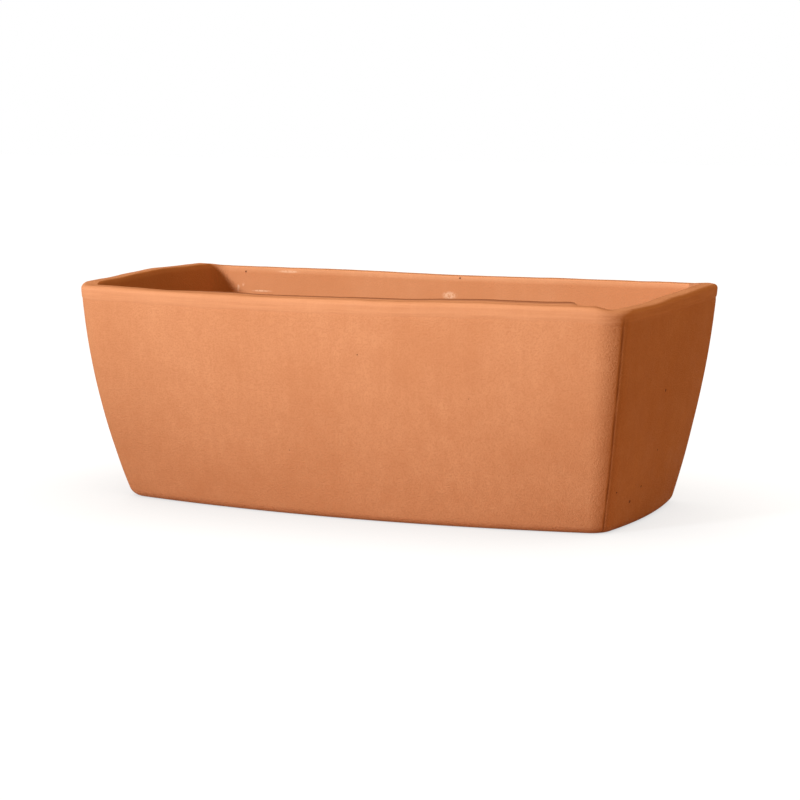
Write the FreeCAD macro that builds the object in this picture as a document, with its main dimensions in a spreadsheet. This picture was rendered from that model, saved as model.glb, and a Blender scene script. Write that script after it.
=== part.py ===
import FreeCAD, Part
import Sketcher
import math
import os
import sys

# Self watering trough planter: a terracotta box with a lift-out water reservoir inside.
# Millimetres.  +Z is up, +X runs along the trough, the bowed front faces -Y.
# The origin is the middle of the footprint box, on the ground.

sizes = {
    # terracotta box
    "height": (187, "ground to rim"),
    "rim_length": (512, "overall length, at the rim"),
    "rim_depth": (272, "overall depth, at the rim"),
    "base_length": (456, "length at the ground"),
    "base_front": (112, "centre line to front face, at the ground"),
    "base_back": (97, "centre line to back face, at the ground"),
    "end_swell": (4, "how far the ends belly out at mid-height"),
    "side_swell": (6, "how far front and back belly out at mid-height"),
    "rim_front_radius": (2600, "plan radius of the front, at the rim"),
    "base_front_radius": (990, "plan radius of the front, at the ground"),
    "rim_back_radius": (4170, "plan radius of the back, at the rim"),
    "base_back_radius": (3200, "plan radius of the back, at the ground"),
    "rim_end_radius": (1300, "plan radius of the ends, at the rim"),
    "base_end_radius": (465, "plan radius of the ends, at the ground"),
    "rim_corner": (27, "outer corner radius, at the rim"),
    "base_corner": (21, "outer corner radius, at the ground"),
    "inner_corner": (16, "corner radius of the hollow"),
    "wall": (14, "terracotta wall"),
    "pot_floor": (14, "terracotta floor"),
    "foot_height": (3, "hollow under the floor"),
    "foot_width": (24, "width of the foot ring"),
    "foot_corner": (12, "corner radius of the hollow under the floor"),
    "base_round": (7, "rounding of the ground edge"),
    "rim_round": (5, "rounding of both rim edges"),
    "floor_round": (7, "rounding where hollow meets floor"),
    "notch_width": (26, "drain notch through the rear foot"),
    "notch_place": (70, "centre line to drain notch"),
    "overflow_bore": (36, "hole in the floor round the overflow nut"),
    "drain_bore": (20, "drain holes in the floor"),
    "drain_place": (150, "centre line to drain hole"),
    # reservoir tray
    "tray_gap": (2, "tray to terracotta"),
    "tray_wall": (2.2, "tray wall and floor"),
    "tray_height": (62, "tray height"),
    # soil platform
    "plate": (2.5, "platform plate"),
    "skirt_gap": (0.8, "skirt to tray wall"),
    "skirt_depth": (8, "skirt below the plate"),
    "skirt_wall": (2, "skirt thickness"),
    "rib_wall": (2, "stiffening rib thickness"),
    "rib_depth": (6, "stiffening rib below the plate"),
    "rib_length": (110, "stiffening rib length"),
    "rib_place": (24, "centre line to rib"),
    "slot_width": (3, "drain slot width"),
    "slot_length": (26, "drain slot length"),
    "slot_pitch": (11, "drain slot spacing"),
    "slot_row": (62, "centre line to the front and rear slot rows"),
    "end_row": (15.5, "centre line to the slot rows at the two ends"),
    # wick baskets
    "basket_top": (70, "basket diameter at the plate"),
    "basket_bottom": (50, "basket diameter at its floor"),
    "basket_wall": (2, "basket wall"),
    "basket_flange": (6, "width of the flange on the plate"),
    "basket_gap": (0.4, "basket to its hole"),
    "basket_lift": (1, "basket floor above tray floor"),
    "basket_inset": (109, "tray end wall to basket centre"),
    "wick_slot": (3, "basket slot width"),
    "slot_margin": (6, "plain wall above and below the slots of baskets and gauge tube"),
    "wick_hole": (3, "radius of the basket's floor holes"),
    "wick_circle": (14, "radius of the ring of floor holes"),
    # platform legs
    "leg_top": (22, "leg diameter under the plate"),
    "leg_bottom": (14, "leg diameter at the tray floor"),
    "leg_wall": (2, "leg wall"),
    "spigot": (10, "leg spigot diameter"),
    "spigot_gap": (0.1, "spigot to its hole"),
    "leg_inset": (69, "tray end wall to outer legs"),
    "leg_front_inset": (43, "tray front wall to front legs"),
    "leg_back_inset": (34, "tray back wall to rear legs"),
    # tubes
    "tube_inset": (29, "tray end wall to tube centre"),
    "tube_front_inset": (36, "tray front wall to tube centre"),
    "tube_gap": (0.3, "tube to its hole in the plate"),
    "collar_width": (3, "tube collar beyond the tube"),
    "collar_height": (4, "tube collar above the plate"),
    "fill_tube": (32, "fill tube diameter"),
    "fill_wall": (1.8, "fill tube wall"),
    "fill_lift": (7, "fill tube end above tray floor"),
    # filler mouth and flap
    "mouth": (50, "filler mouth diameter"),
    "mouth_drop": (19, "rim to filler mouth"),
    "mouth_height": (10, "filler mouth above its tube"),
    "mouth_lip": (3, "straight lip of the mouth"),
    "neck": (12, "funnel neck inside the tube"),
    "neck_gap": (0.2, "funnel neck to tube"),
    "funnel_wall": (1.6, "funnel wall"),
    "flap": (52, "flap diameter"),
    "flap_plate": (2.4, "flap thickness"),
    "flap_tab": (5, "finger tab beyond the flap"),
    "flap_tab_width": (14, "finger tab width"),
    "plug_gap": (2, "locating ring to mouth"),
    "plug_depth": (3, "locating ring below the flap"),
    "hinge_place": (30, "mouth centre to hinge axis"),
    "hinge_lift": (2, "hinge axis above the mouth"),
    "hinge_round": (3.2, "knuckle and lug radius"),
    "knuckle": (10, "knuckle width"),
    "lug": (4, "lug width"),
    "lug_gap": (0.3, "knuckle to lug"),
    "pin": (3, "hinge pin diameter"),
    "pin_gap": (0.05, "pin to bore, all round"),
    "pin_end": (0.5, "pin beyond each lug"),
    # water level gauge
    "gauge_tube": (20, "gauge tube diameter"),
    "gauge_wall": (1.5, "gauge tube wall"),
    "gauge_lift": (0.5, "gauge tube above tray floor"),
    "water_slot": (3, "gauge tube slot width"),
    "ledge": (2, "ledge under the float"),
    "ledge_bore": (8, "hole in the ledge"),
    "float_size": (15, "float diameter"),
    "float_height": (22, "float height"),
    "float_edge": (1.5, "float edge chamfer"),
    "float_socket": (8, "rod depth in the float"),
    "rod": (3, "gauge rod diameter"),
    "rod_gap": (0.02, "rod to its sockets"),
    "disc": (12, "indicator disc diameter"),
    "disc_height": (3, "indicator disc height"),
    "disc_lift": (1, "disc above the window's shoulder when empty"),
    "window_drop": (15, "rim to top of the gauge window"),
    "window_height": (42, "gauge window above its tube"),
    "window_wall": (3, "gauge window wall"),
    "window_top": (1.6, "gauge window end wall"),
    "window_spigot": (12, "gauge window inside the tube"),
    "window_gap": (0.1, "gauge window to tube"),
    "mark_depth": (0.4, "engraved level mark"),
    "mark_edge": (8, "level mark from either end of the window"),
    # overflow
    "pipe": (14, "overflow pipe diameter"),
    "pipe_wall": (2, "overflow pipe wall"),
    "pipe_gap": (0.1, "pipe to bores, all round"),
    "water_depth": (39, "tray floor to overflow mouth"),
    "pipe_foot": (4, "pipe end above the ground"),
    "flange": (30, "overflow flange diameter"),
    "flange_plate": (2.5, "overflow flange thickness"),
    "gasket": (28, "gasket diameter"),
    "gasket_plate": (2, "gasket thickness"),
    "nut": (24, "nut across flats"),
    "nut_height": (7, "nut height"),
    "strainer_wall": (1.5, "strainer wall"),
    "strainer_sleeve": (8, "strainer over the pipe"),
    "strainer_head": (10, "strainer above the pipe"),
    "strainer_slot": (2, "strainer slot width"),
}

doc = FreeCAD.newDocument("SelfWateringPlanter")
sheet = doc.addObject("Spreadsheet::Sheet", "Sizes")
for row, (alias, (number, note)) in enumerate(sizes.items(), start=1):
    sheet.set(f"A{row}", alias)
    sheet.set(f"B{row}", str(number))
    sheet.set(f"C{row}", note)
    sheet.setAlias(f"B{row}", alias)
doc.recompute()

vector = FreeCAD.Vector
bodies = []


def value(expression):
    """Number that an expression of the sheet's cells has now."""
    return float(sheet.evalExpression(expression))


def half(expression):
    return f"({expression})/2"


# ---------------------------------------------------------------- levels and places

floor_top = "(Sizes.foot_height + Sizes.pot_floor)"
tray_floor = f"({floor_top} + Sizes.tray_wall)"
tray_top = f"({floor_top} + Sizes.tray_height)"
plate_top = f"({tray_top} + Sizes.plate)"
skirt_bottom = f"({tray_top} - Sizes.skirt_depth)"
basket_floor = f"({tray_floor} + Sizes.basket_lift)"
mouth_top = "(Sizes.height - Sizes.mouth_drop)"
fill_top = f"({mouth_top} - Sizes.mouth_height)"
hinge_height = f"({mouth_top} + Sizes.hinge_lift)"
gauge_bottom = f"({tray_floor} + Sizes.gauge_lift)"
float_bottom = f"({gauge_bottom} + Sizes.ledge)"
float_top = f"({float_bottom} + Sizes.float_height)"
window_end = "(Sizes.height - Sizes.window_drop)"
window_bottom = f"({window_end} - Sizes.window_height)"
disc_bottom = f"({window_bottom} + Sizes.disc_lift)"
pipe_top = f"({tray_floor} + Sizes.water_depth)"
pipe_bore = "(Sizes.pipe/2 + Sizes.pipe_gap)"
pin_bore = "(Sizes.pin/2 + Sizes.pin_gap)"
rod_socket = "(Sizes.rod/2 + Sizes.rod_gap)"
tray_inset = "(Sizes.wall + Sizes.tray_gap)"
tray_inner_inset = f"({tray_inset} + Sizes.tray_wall)"


def between(base, rim, share):
    return f"(Sizes.{base} + (Sizes.{rim} - Sizes.{base})*{share})"


def level(height, inset="0", corner=None):
    """Plan of the trough at one height, moved in by an inset: its reaches and its radii."""
    share = f"(({height})/Sizes.height)"
    belly = f"4*{share}*(1 - {share})"
    half_length = f"(Sizes.base_length + (Sizes.rim_length - Sizes.base_length)*{share})/2"
    front = f"(Sizes.base_front + (Sizes.rim_depth/2 - Sizes.base_front)*{share})"
    back = f"(Sizes.base_back + (Sizes.rim_depth/2 - Sizes.base_back)*{share})"
    return {
        "end": f"({half_length} + Sizes.end_swell*{belly} - {inset})",
        "front": f"({front} + Sizes.side_swell*{belly} - {inset})",
        "back": f"({back} + Sizes.side_swell*{belly} - {inset})",
        "end_radius": f"({between('base_end_radius', 'rim_end_radius', share)} - {inset})",
        "front_radius": f"({between('base_front_radius', 'rim_front_radius', share)} - {inset})",
        "back_radius": f"({between('base_back_radius', 'rim_back_radius', share)} - {inset})",
        "corner": corner or between("base_corner", "rim_corner", share),
    }


inside_floor = level(tray_floor, tray_inner_inset)
tube_x = f"({inside_floor['end']} - Sizes.tube_inset)"
tube_y = f"(Sizes.tube_front_inset - {inside_floor['front']})"
basket_x = f"({inside_floor['end']} - Sizes.basket_inset)"
leg_x = f"({inside_floor['end']} - Sizes.leg_inset)"
leg_front_y = f"(Sizes.leg_front_inset - {inside_floor['front']})"
leg_back_y = f"({inside_floor['back']} - Sizes.leg_back_inset)"


# ---------------------------------------------------------------- sketches

def new_body(label, x="0", y="0"):
    body = doc.addObject("PartDesign::Body", label)
    body.Label = label
    body.Placement = FreeCAD.Placement(vector(value(x), value(y), 0), FreeCAD.Rotation())
    body.setExpression("Placement.Base.x", x)
    body.setExpression("Placement.Base.y", y)
    bodies.append(body)
    return body


def origin_part(body, role):
    return [part for part in body.Origin.OriginFeatures if part.Role == role][0]


def new_sketch(body, name, role, offset="0"):
    sketch = body.newObject("Sketcher::SketchObject", name)
    sketch.AttachmentSupport = [(origin_part(body, role), "")]
    sketch.MapMode = "FlatFace"
    if offset != "0":
        sketch.setExpression("AttachmentOffset.Base.z", offset)
    return sketch


def bind(sketch, name, constraint, expression):
    index = sketch.addConstraint(constraint)
    sketch.renameConstraint(index, name)
    sketch.setExpression(f"Constraints.{name}", expression)


def place_point(sketch, geometry, end, x, y, name):
    """Ties one point of a sketch to its two coordinates."""
    if abs(value(x)) < 1e-9:
        sketch.addConstraint(Sketcher.Constraint("PointOnObject", geometry, end, -2))
    else:
        across = Sketcher.Constraint("DistanceX", -1, 1, geometry, end, value(x))
        bind(sketch, f"{name}_x", across, x)
    if abs(value(y)) < 1e-9:
        sketch.addConstraint(Sketcher.Constraint("PointOnObject", geometry, end, -1))
    else:
        up = Sketcher.Constraint("DistanceY", -1, 1, geometry, end, value(y))
        bind(sketch, f"{name}_y", up, y)


def outline(body, name, role, points, offset="0"):
    """Closed outline of straight lines."""
    sketch = new_sketch(body, name, role, offset)
    spots = [vector(value(x), value(y), 0) for x, y in points]
    count = len(points)
    lines = [Part.LineSegment(spots[i], spots[(i + 1) % count]) for i in range(count)]
    sketch.addGeometry(lines, False)
    for i in range(count):
        sketch.addConstraint(Sketcher.Constraint("Coincident", i, 2, (i + 1) % count, 1))
    for i, (x, y) in enumerate(points):
        place_point(sketch, i, 1, x, y, f"corner_{i}")
    return sketch


def rectangle(body, name, role, left, right, low, high, offset="0"):
    points = [(left, low), (right, low), (right, high), (left, high)]
    return outline(body, name, role, points, offset)


def circles(body, name, role, rounds, offset="0"):
    """Circles given as (x, y, radius)."""
    sketch = new_sketch(body, name, role, offset)
    for i, (x, y, radius) in enumerate(rounds):
        middle = vector(value(x), value(y), 0)
        sketch.addGeometry(Part.Circle(middle, vector(0, 0, 1), value(radius)), False)
        place_point(sketch, i, 3, x, y, f"middle_{i}")
        bind(sketch, f"radius_{i}", Sketcher.Constraint("Radius", i, value(radius)), radius)
    return sketch


def slots(body, name, role, places, width, length, offset="0"):
    """Round-ended slots that run along the sketch's Y, given by their middles (x, y)."""
    sketch = new_sketch(body, name, role, offset)
    radius = value(width)/2
    reach = value(length)/2 - radius
    for number, (x, y) in enumerate(places):
        first = 4*number
        cx = value(x)
        cy = value(y)
        top = Part.Circle(vector(cx, cy + reach, 0), vector(0, 0, 1), radius)
        bottom = Part.Circle(vector(cx, cy - reach, 0), vector(0, 0, 1), radius)
        left = cx - radius
        right = cx + radius
        sketch.addGeometry([
            Part.ArcOfCircle(top, 0, math.pi),
            Part.LineSegment(vector(left, cy + reach, 0), vector(left, cy - reach, 0)),
            Part.ArcOfCircle(bottom, math.pi, 2*math.pi),
            Part.LineSegment(vector(right, cy - reach, 0), vector(right, cy + reach, 0)),
        ], False)
        for i in range(4):
            tangent = Sketcher.Constraint("Tangent", first + i, 2, first + (i + 1) % 4, 1)
            sketch.addConstraint(tangent)
        sketch.addConstraint(Sketcher.Constraint("Vertical", first + 1))
        round_end = Sketcher.Constraint("Radius", first, radius)
        bind(sketch, f"slot_{number}_radius", round_end, half(width))
        upper = f"({y}) + ({length})/2 - ({width})/2"
        lower = f"({y}) - ({length})/2 + ({width})/2"
        place_point(sketch, first, 3, x, upper, f"slot_{number}_upper")
        low_end = Sketcher.Constraint("DistanceY", -1, 1, first + 2, 3, value(lower))
        bind(sketch, f"slot_{number}_lower", low_end, lower)
    return sketch


def corner_centre(first, first_radius, second, second_radius, near):
    """Where two circles cross, on the side that lies nearer to a point."""
    apart = (second - first).Length
    along = (first_radius**2 - second_radius**2 + apart**2)/(2*apart)
    aside = math.sqrt(first_radius**2 - along**2)
    ahead = (second - first)*(1/apart)
    foot = first + ahead*along
    step = vector(-ahead.y, ahead.x, 0)*aside
    return min((foot + step, foot - step), key=lambda spot: (spot - near).Length)


def trough_section(body, name, height, plan):
    """Plan of the trough: four shallow arcs joined by four round corners, all tangent."""
    sketch = new_sketch(body, name, "XY_Plane", height)
    end = value(plan["end"])
    front = value(plan["front"])
    back = value(plan["back"])
    corner = value(plan["corner"])
    radii = [value(plan[side]) for side in ("front_radius", "end_radius", "back_radius", "end_radius")]
    middles = [
        vector(0, radii[0] - front, 0),
        vector(end - radii[1], 0, 0),
        vector(0, back - radii[2], 0),
        vector(radii[3] - end, 0, 0),
    ]
    tips = [vector(end, -front, 0), vector(end, back, 0), vector(-end, back, 0), vector(-end, -front, 0)]
    turns = []
    for i in range(4):
        after = (i + 1) % 4
        inner = radii[i] - corner
        turns.append(corner_centre(middles[i], inner, middles[after], radii[after] - corner, tips[i]))

    def arc(middle, radius, start, stop):
        begin = math.atan2(start.y, start.x)
        finish = math.atan2(stop.y, stop.x)
        if finish < begin:
            finish += 2*math.pi
        return Part.ArcOfCircle(Part.Circle(middle, vector(0, 0, 1), radius), begin, finish)

    for i in range(4):
        after = (i + 1) % 4
        leave = turns[i] - middles[i]
        sketch.addGeometry(arc(middles[i], radii[i], turns[i - 1] - middles[i], leave), False)
        sketch.addGeometry(arc(turns[i], corner, leave, turns[i] - middles[after]), False)
    for i in range(8):
        sketch.addConstraint(Sketcher.Constraint("Tangent", i, 2, (i + 1) % 8, 1))
    for side, axis in ((0, -2), (4, -2), (2, -1), (6, -1)):
        sketch.addConstraint(Sketcher.Constraint("PointOnObject", side, 3, axis))
    for one, other in ((2, 6), (1, 3), (3, 5), (5, 7)):
        sketch.addConstraint(Sketcher.Constraint("Equal", one, other))
    for side, key in ((0, "front_radius"), (2, "end_radius"), (4, "back_radius"), (1, "corner")):
        radius = value(plan[key])
        bind(sketch, f"{key}_size", Sketcher.Constraint("Radius", side, radius), plan[key])
    reaches = (
        ("front_reach", ("DistanceY", -1, 1, 0, 3), f"{plan['front_radius']} - {plan['front']}"),
        ("back_reach", ("DistanceY", 4, 3, -1, 1), f"{plan['back_radius']} - {plan['back']}"),
        ("right_reach", ("DistanceX", 2, 3, -1, 1), f"{plan['end_radius']} - {plan['end']}"),
        ("left_reach", ("DistanceX", -1, 1, 6, 3), f"{plan['end_radius']} - {plan['end']}"),
    )
    for key, kind, expression in reaches:
        bind(sketch, key, Sketcher.Constraint(*kind, value(expression)), expression)
    return sketch


# ---------------------------------------------------------------- features

def loft(body, kind, name, sections):
    feature = body.newObject(f"PartDesign::{kind}Loft", name)
    feature.Profile = sections[0]
    feature.Sections = sections[1:]
    feature.Ruled = False
    doc.recompute()
    return feature


def trough_loft(body, kind, name, low, high, count, inset="0", corner=None):
    """Loft through evenly spaced plans of the trough."""
    sections = []
    for i in range(count):
        height = f"({low} + ({high} - {low})*{i}/{count - 1})"
        plan = level(height, inset, corner)
        sections.append(trough_section(body, f"{name}Plan{i}", height, plan))
    doc.recompute()
    return loft(body, kind, name, sections)


def turn(body, name, points):
    """Solid of revolution about the body's Z axis, from (radius, height) corners."""
    profile = outline(body, f"{name}Profile", "XZ_Plane", points)
    doc.recompute()
    feature = body.newObject("PartDesign::Revolution", name)
    feature.Profile = profile
    feature.ReferenceAxis = (profile, ["V_Axis"])
    feature.Angle = 360
    doc.recompute()
    return feature


def pad(body, name, sketch, length, both_ways=False):
    feature = body.newObject("PartDesign::Pad", name)
    feature.Profile = sketch
    feature.Length = value(length)
    feature.setExpression("Length", length)
    if both_ways:
        feature.SideType = "Symmetric"
    doc.recompute()
    return feature


def cut(body, name, sketch, length=None, both_ways=False):
    """Pocket along the sketch's own normal, through everything if no length is given."""
    before = body.Shape.Volume
    feature = body.newObject("PartDesign::Pocket", name)
    feature.Profile = sketch
    feature.Reversed = True
    if length is None:
        feature.Type = "ThroughAll"
    else:
        feature.Length = value(length)
        feature.setExpression("Length", length)
    if both_ways:
        feature.SideType = "Symmetric"
    doc.recompute()
    if body.Shape.Volume > before - 0.01:
        sys.exit(f"{body.Label}: {name} cuts nothing")
    return feature


def around(body, name, features, count):
    """Copies of features, evenly spaced about the body's Z axis."""
    pattern = body.newObject("PartDesign::PolarPattern", name)
    pattern.Originals = features
    pattern.Axis = (origin_part(body, "Z_Axis"), [""])
    pattern.Angle = 360
    pattern.Occurrences = count
    body.Tip = pattern
    doc.recompute()
    return pattern


def mirror(body, name, features, role):
    pattern = body.newObject("PartDesign::Mirrored", name)
    pattern.Originals = features
    pattern.MirrorPlane = (origin_part(body, role), [""])
    body.Tip = pattern
    doc.recompute()
    return pattern


def round_level(body, name, height, radius):
    """Fillet on every edge that lies flat at one height."""
    base = body.Tip
    flat = []
    for number, edge in enumerate(base.Shape.Edges, start=1):
        box = edge.BoundBox
        if abs(box.ZMin - value(height)) < 0.01 and abs(box.ZMax - value(height)) < 0.01:
            flat.append(f"Edge{number}")
    feature = body.newObject("PartDesign::Fillet", name)
    feature.Base = (base, flat)
    feature.Radius = value(radius)
    feature.setExpression("Radius", radius)
    doc.recompute()
    return feature


# ---------------------------------------------------------------- terracotta box

def make_planter_body():
    body = new_body("planter_body")
    trough_loft(body, "Additive", "Block", "0", "Sizes.height", 5)
    trough_loft(body, "Subtractive", "Hollow", floor_top, "Sizes.height", 5,
                "Sizes.wall", "Sizes.inner_corner")
    round_level(body, "BaseRound", "0", "Sizes.base_round")
    round_level(body, "FloorRound", floor_top, "Sizes.floor_round")
    round_level(body, "RimRound", "Sizes.height", "Sizes.rim_round")
    recess = trough_section(body, "FootPlan", "0", level("0", "Sizes.foot_width", "Sizes.foot_corner"))
    cut(body, "FootHollow", recess, "Sizes.foot_height")
    bores = circles(body, "Bores", "XY_Plane", [
        ("0", "0", half("Sizes.overflow_bore")),
        ("Sizes.drain_place", "0", half("Sizes.drain_bore")),
        ("-Sizes.drain_place", "0", half("Sizes.drain_bore")),
    ])
    cut(body, "DrainBores", bores, floor_top)
    notch = rectangle(body, "NotchPlan", "XY_Plane",
                      "Sizes.notch_place - Sizes.notch_width/2", "Sizes.notch_place + Sizes.notch_width/2",
                      "Sizes.base_back - 2*Sizes.foot_width", "Sizes.base_back + Sizes.foot_width")
    drain = cut(body, "Notch", notch, "Sizes.foot_height")
    mirror(body, "Notches", [drain], "YZ_Plane")


# ---------------------------------------------------------------- reservoir tray

def make_reservoir_tray():
    body = new_body("reservoir_tray")
    outer_corner = "(Sizes.inner_corner - Sizes.tray_gap)"
    inner_corner = f"({outer_corner} - Sizes.tray_wall)"
    trough_loft(body, "Additive", "Shell", floor_top, tray_top, 3, tray_inset, outer_corner)
    trough_loft(body, "Subtractive", "Basin", tray_floor, tray_top, 3, tray_inner_inset, inner_corner)
    round_level(body, "BaseRound", floor_top, "Sizes.floor_round")
    round_level(body, "BasinRound", tray_floor, "Sizes.floor_round - Sizes.tray_wall")
    bore = circles(body, "OverflowPlan", "XY_Plane", [("0", "0", pipe_bore)], floor_top)
    cut(body, "OverflowBore", bore, "Sizes.tray_wall")


# ---------------------------------------------------------------- soil platform

def leg_places():
    """Three legs along the front and three along the back."""
    return [(x, y) for y in (leg_front_y, leg_back_y) for x in (f"-{leg_x}", "0", leg_x)]


def make_soil_platform():
    body = new_body("soil_platform")
    corner = "(Sizes.inner_corner - Sizes.tray_gap)"
    plate = trough_section(body, "PlatePlan", tray_top, level(tray_top, tray_inset, corner))
    pad(body, "Plate", plate, "Sizes.plate")
    skirt_inset = f"({tray_inner_inset} + Sizes.skirt_gap)"
    skirt_corner = f"({corner} - Sizes.tray_wall - Sizes.skirt_gap)"
    skirt = trough_section(body, "SkirtPlan", skirt_bottom, level(skirt_bottom, skirt_inset, skirt_corner))
    pad(body, "Skirt", skirt, "Sizes.skirt_depth")
    core_inset = f"({skirt_inset} + Sizes.skirt_wall)"
    core_corner = f"({skirt_corner} - Sizes.skirt_wall)"
    core = trough_section(body, "CorePlan", skirt_bottom, level(skirt_bottom, core_inset, core_corner))
    cut(body, "Core", core, "Sizes.skirt_depth")
    rib = rectangle(body, "RibPlan", "XY_Plane", "-Sizes.rib_length/2", "Sizes.rib_length/2",
                    "Sizes.rib_place - Sizes.rib_wall/2", "Sizes.rib_place + Sizes.rib_wall/2",
                    f"{tray_top} - Sizes.rib_depth")
    rib_pad = pad(body, "Rib", rib, "Sizes.rib_depth")
    mirror(body, "Ribs", [rib_pad], "XZ_Plane")
    basket_bore = "Sizes.basket_top/2 + Sizes.basket_gap"
    bores = [(basket_x, "0", basket_bore), (f"-{basket_x}", "0", basket_bore)]
    bores.append((f"-{tube_x}", tube_y, "Sizes.fill_tube/2 + Sizes.tube_gap"))
    bores.append((tube_x, tube_y, "Sizes.gauge_tube/2 + Sizes.tube_gap"))
    for x, y in leg_places():
        bores.append((x, y, "Sizes.spigot/2"))
    cut(body, "Bores", circles(body, "BorePlan", "XY_Plane", bores, tray_top), "Sizes.plate")
    rows = []
    for row in ("-Sizes.slot_row", "Sizes.slot_row"):
        for step in (-3, -2, 2, 3):
            rows.append((f"{step}*Sizes.slot_pitch", row))
    for step in (-2, -1, 1, 2):
        rows.append((f"{step}*Sizes.slot_pitch", "0"))
    for side in ("-", ""):
        for step in (-2, -1, 0, 1, 2):
            rows.append((f"{side}({tube_x} + {step}*Sizes.slot_pitch)", "Sizes.end_row"))
    drains = slots(body, "SlotPlan", "XY_Plane", rows, "Sizes.slot_width", "Sizes.slot_length", tray_top)
    cut(body, "DrainSlots", drains, "Sizes.plate")


def make_wick_basket(label, x):
    body = new_body(label, x)
    outer = half("Sizes.basket_top")
    flange_top = f"{plate_top} + Sizes.basket_wall"
    turn(body, "Cone", [
        ("0", basket_floor),
        (half("Sizes.basket_bottom"), basket_floor),
        (outer, plate_top),
        (f"{outer} + Sizes.basket_flange", plate_top),
        (f"{outer} + Sizes.basket_flange", flange_top),
        (f"{outer} - Sizes.basket_wall", flange_top),
        (f"{half('Sizes.basket_bottom')} - Sizes.basket_wall", f"{basket_floor} + Sizes.basket_wall"),
        ("0", f"{basket_floor} + Sizes.basket_wall"),
    ])
    slot_length = f"({skirt_bottom} - {basket_floor} - 2*Sizes.slot_margin)"
    slot_middle = f"({skirt_bottom} + {basket_floor})/2"
    slot = slots(body, "WickSlotPlan", "XZ_Plane", [("0", slot_middle)], "Sizes.wick_slot", slot_length)
    around(body, "WickSlots", [cut(body, "WickSlot", slot)], 12)
    middle = circles(body, "MiddlePlan", "XY_Plane", [("0", "0", "Sizes.wick_hole")], basket_floor)
    cut(body, "MiddleHole", middle, "Sizes.basket_wall")
    hole = circles(body, "HolePlan", "XY_Plane",
                   [("Sizes.wick_circle", "0", "Sizes.wick_hole")], basket_floor)
    around(body, "FloorHoles", [cut(body, "FloorHole", hole, "Sizes.basket_wall")], 6)


def make_platform_leg(label, x, y):
    body = new_body(label, x, y)
    pin_radius = "Sizes.spigot/2 - Sizes.spigot_gap"
    turn(body, "Column", [
        (f"{half('Sizes.leg_bottom')} - Sizes.leg_wall", tray_floor),
        (half("Sizes.leg_bottom"), tray_floor),
        (half("Sizes.leg_top"), tray_top),
        (pin_radius, tray_top),
        (pin_radius, plate_top),
        ("0", plate_top),
        ("0", f"{tray_top} - Sizes.leg_wall"),
        (f"{half('Sizes.leg_top')} - Sizes.leg_wall", f"{tray_top} - Sizes.leg_wall"),
    ])


# ---------------------------------------------------------------- filler

def tube_points(outer, wall, bottom, top):
    """Profile of a tube with a collar that rests on the platform."""
    collar = f"{outer} + Sizes.collar_width"
    collar_top = f"{plate_top} + Sizes.collar_height"
    return [
        (f"{outer} - {wall}", bottom),
        (outer, bottom),
        (outer, plate_top),
        (collar, plate_top),
        (collar, collar_top),
        (outer, collar_top),
        (outer, top),
        (f"{outer} - {wall}", top),
    ]


def make_fill_tube():
    body = new_body("fill_tube", f"-{tube_x}", tube_y)
    bottom = f"{tray_floor} + Sizes.fill_lift"
    turn(body, "Tube", tube_points(half("Sizes.fill_tube"), "Sizes.fill_wall", bottom, fill_top))


def make_fill_funnel():
    body = new_body("fill_funnel", f"-{tube_x}", tube_y)
    neck = "(Sizes.fill_tube/2 - Sizes.fill_wall - Sizes.neck_gap)"
    rim = half("Sizes.mouth")
    lip_bottom = f"{mouth_top} - Sizes.mouth_lip"
    turn(body, "Funnel", [
        (f"{neck} - Sizes.funnel_wall", f"{fill_top} - Sizes.neck"),
        (neck, f"{fill_top} - Sizes.neck"),
        (neck, fill_top),
        (half("Sizes.fill_tube"), fill_top),
        (rim, lip_bottom),
        (rim, mouth_top),
        (f"{rim} - Sizes.funnel_wall", mouth_top),
        (f"{rim} - Sizes.funnel_wall", lip_bottom),
        (f"{neck} - Sizes.funnel_wall", f"{fill_top} + Sizes.funnel_wall"),
    ])
    lug_start = "Sizes.knuckle/2 + Sizes.lug_gap"
    inner_edge = "Sizes.hinge_place - Sizes.hinge_round"
    web = outline(body, "WebPlan", "YZ_Plane", [
        (f"{rim} - Sizes.funnel_wall/2", f"{lip_bottom} - Sizes.mouth_lip/2"),
        (rim, f"{lip_bottom} - Sizes.mouth_lip/2"),
        ("Sizes.hinge_place + Sizes.hinge_round", hinge_height),
        (inner_edge, hinge_height),
        (inner_edge, mouth_top),
        (f"{rim} - Sizes.funnel_wall/2", mouth_top),
    ], lug_start)
    web_pad = pad(body, "Web", web, "Sizes.lug")
    eye = circles(body, "EyePlan", "YZ_Plane",
                  [("Sizes.hinge_place", hinge_height, "Sizes.hinge_round")], lug_start)
    eye_pad = pad(body, "Eye", eye, "Sizes.lug")
    mirror(body, "Lugs", [web_pad, eye_pad], "YZ_Plane")
    bore = circles(body, "PinPlan", "YZ_Plane", [("Sizes.hinge_place", hinge_height, pin_bore)])
    cut(body, "PinBore", bore, both_ways=True)


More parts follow.
